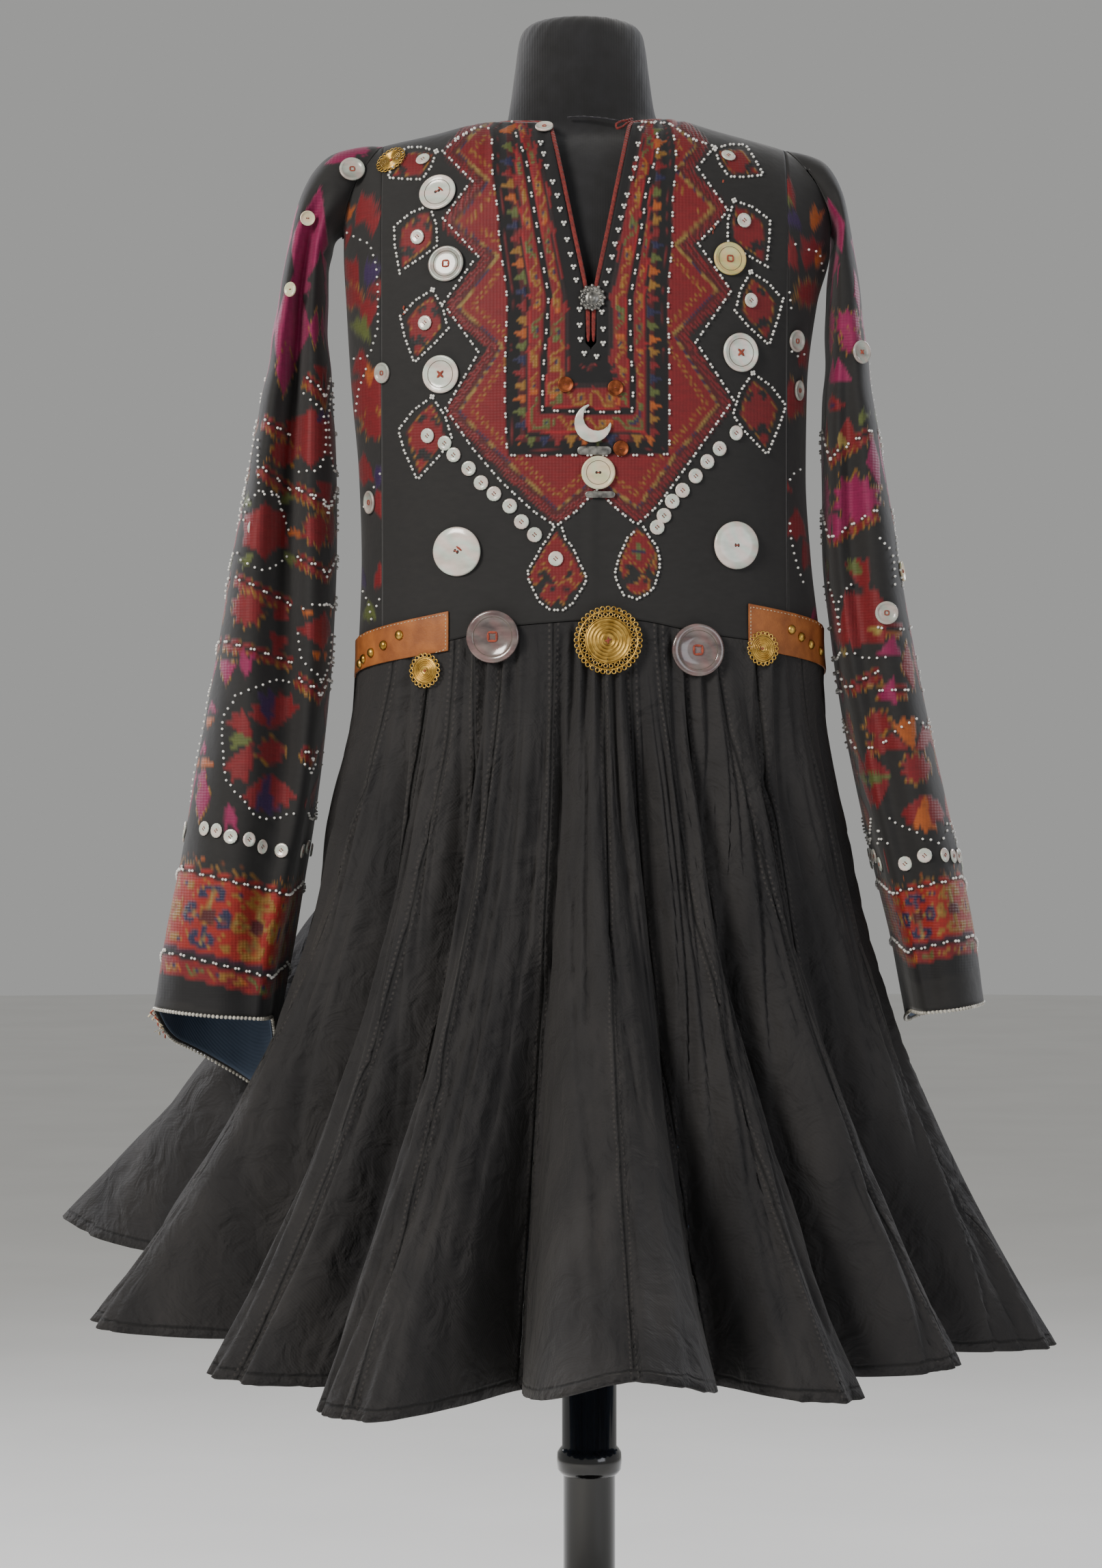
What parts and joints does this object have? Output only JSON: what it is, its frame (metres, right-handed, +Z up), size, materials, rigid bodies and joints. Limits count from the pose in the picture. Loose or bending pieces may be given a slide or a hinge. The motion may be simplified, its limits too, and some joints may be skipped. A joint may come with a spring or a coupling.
{
  "type": "embroidered dress on a dress form",
  "caption": "Long-sleeved black cotton dress with a deep front slit, beaded and buttoned bodice and full flared gored skirt, on a limbless dress form with a turned post and round base.",
  "frame": {"origin": "centre of the round base's flat underside, on the floor", "axes": "+Z up along the post, the wearer's front faces -Y, +X to the right as seen from the front"},
  "size_m": [0.7947, 0.7663, 1.522],
  "materials": {
    "charcoal_cotton": "matt twill cotton, faded black",
    "embroidered_cotton": "black cotton closely covered with red, gold and magenta silk stitching",
    "blue_lining": "blue-grey cotton facing, matt",
    "red_binding": "dark red cotton cord and binding",
    "tan_leather": "orange-brown leather, worn smooth",
    "pearl_shell": "white mother-of-pearl, polished",
    "smoky_shell": "smoky mother-of-pearl, polished",
    "cream_casein": "cream button, smooth",
    "yellow_casein": "yellowed cream button, smooth",
    "grey_shell": "grey mother-of-pearl button",
    "gilt_brass": "pierced gilt brass, dulled",
    "copper_brass": "browned copper-coloured brass",
    "grey_steel": "dull grey pressed metal",
    "form_cloth": "black cloth stretched over the form",
    "ebonised_wood": "turned wood, gloss black"
  },
  "bodies": {
    "root": {"bodice_front": "charcoal_cotton", "bodice_back": "charcoal_cotton", "side_panel_left": "embroidered_cotton", "side_panel_right": "embroidered_cotton", "sleeve_left": "embroidered_cotton", "sleeve_right": "embroidered_cotton", "skirt_back_side_left": "charcoal_cotton", "skirt_side_left": "charcoal_cotton", "skirt_front_left": "charcoal_cotton", "skirt_front_centre": "charcoal_cotton", "skirt_front_right": "charcoal_cotton", "skirt_side_right": "charcoal_cotton", "skirt_back_right": "charcoal_cotton", "skirt_back_left": "charcoal_cotton", "hem_facing": "blue_lining", "cuff_lining_left": "blue_lining", "cuff_lining_right": "blue_lining", "neck_binding": "red_binding", "waist_tab_left": "tan_leather", "waist_tab_right": "tan_leather", "pearl_disc_left": "pearl_shell", "pearl_disc_right": "pearl_shell", "breast_button_left_1": "pearl_shell", "breast_button_left_2": "pearl_shell", "breast_button_left_3": "pearl_shell", "breast_button_right_1": "yellow_casein", "breast_button_right_2": "pearl_shell", "smoky_disc_left": "smoky_shell", "smoky_disc_right": "smoky_shell", "centre_medallion": "gilt_brass", "small_medallion_left": "gilt_brass", "small_medallion_right": "gilt_brass", "shoulder_medallion": "gilt_brass", "cream_button": "cream_casein", "copper_button_1": "copper_brass", "copper_button_2": "copper_brass", "copper_button_3": "copper_brass", "shoulder_button_left": "pearl_shell", "side_button_left_1": "pearl_shell", "side_button_left_2": "pearl_shell", "side_button_right_1": "pearl_shell", "side_button_right_2": "pearl_shell", "sleeve_button_left_1": "pearl_shell", "sleeve_button_left_2": "pearl_shell", "sleeve_button_left_3": "pearl_shell", "sleeve_button_left_4": "grey_shell", "sleeve_button_left_5": "pearl_shell", "sleeve_button_right_1": "pearl_shell", "sleeve_button_right_2": "pearl_shell", "sleeve_button_right_3": "pearl_shell", "shell_crescent": "pearl_shell", "metal_bar_upper": "gilt_brass", "metal_bar_lower": "gilt_brass", "flower_button": "grey_steel", "neck_button": "pearl_shell", "form_torso": "form_cloth", "stand_post": "ebonised_wood", "stand_base": "ebonised_wood"}
  },
  "joints": []
}
